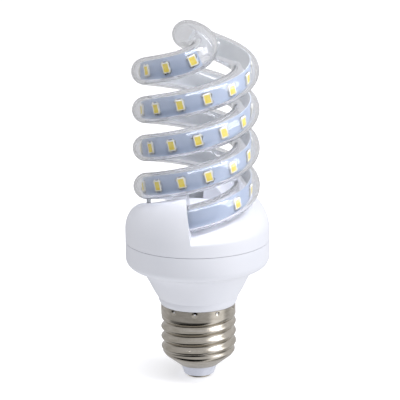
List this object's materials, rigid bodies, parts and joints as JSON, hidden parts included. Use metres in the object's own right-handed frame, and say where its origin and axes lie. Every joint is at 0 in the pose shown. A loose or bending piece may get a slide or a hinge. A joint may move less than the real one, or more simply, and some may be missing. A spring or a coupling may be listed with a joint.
{
  "type": "spiral led bulb",
  "caption": "Screw-cap lamp: white two-part housing with helical ramps, clear glass double spiral tube with led strips inside, nickel-plated threaded cap.",
  "frame": {"origin": "on the bulb's axis at the tip of the centre contact, the lowest point", "axes": "+Z along the axis from the cap to the top of the spiral; -Y is the front, where the first leg of the tube leaves the cover"},
  "size_m": [0.0502, 0.0502, 0.1264],
  "materials": {
    "cap_metal": "nickel plate, semi-bright",
    "insulator": "smooth",
    "contact_metal": "satin",
    "housing_plastic": "fine satin moulding",
    "clear_glass": "clear, polished",
    "strip_board": "white solder mask",
    "led_body": "smooth",
    "phosphor": "silicone gel",
    "sealant": "cured silicone",
    "adhesive": "cured silicone, translucent grey",
    "circuit_board": "solder mask",
    "capacitor_sleeve": "shrink sleeve",
    "ferrite": "dull",
    "enamelled_copper": "enamelled",
    "film_box": "moulded box",
    "black_epoxy": "moulded",
    "resistor_coat": "lacquer",
    "wire_red": "insulation",
    "wire_black": "insulation"
  },
  "bodies": {
    "root": {"screw_shell": "cap_metal", "cap_insulator": "insulator", "centre_contact": "contact_metal", "lower_housing": "housing_plastic", "upper_cover": "housing_plastic", "spiral_tube": "clear_glass", "led_strip_a": "strip_board", "led_strip_b": "strip_board", "led_packages_a": "led_body", "led_packages_b": "led_body", "led_phosphors_a": "phosphor", "led_phosphors_b": "phosphor", "tube_sealant_a": "sealant", "tube_sealant_b": "sealant", "adhesive_dab": "adhesive", "driver_board": "circuit_board", "filter_capacitor": "capacitor_sleeve", "choke_core": "ferrite", "choke_winding": "enamelled_copper", "film_capacitor": "film_box", "bridge_rectifier": "black_epoxy", "driver_chip": "black_epoxy", "chip_resistors": "black_epoxy", "fusible_resistor": "resistor_coat", "live_wire": "wire_red", "neutral_wire": "wire_black", "positive_lead_a": "wire_red", "positive_lead_b": "wire_red", "negative_lead_a": "wire_black", "negative_lead_b": "wire_black"}
  },
  "joints": []
}
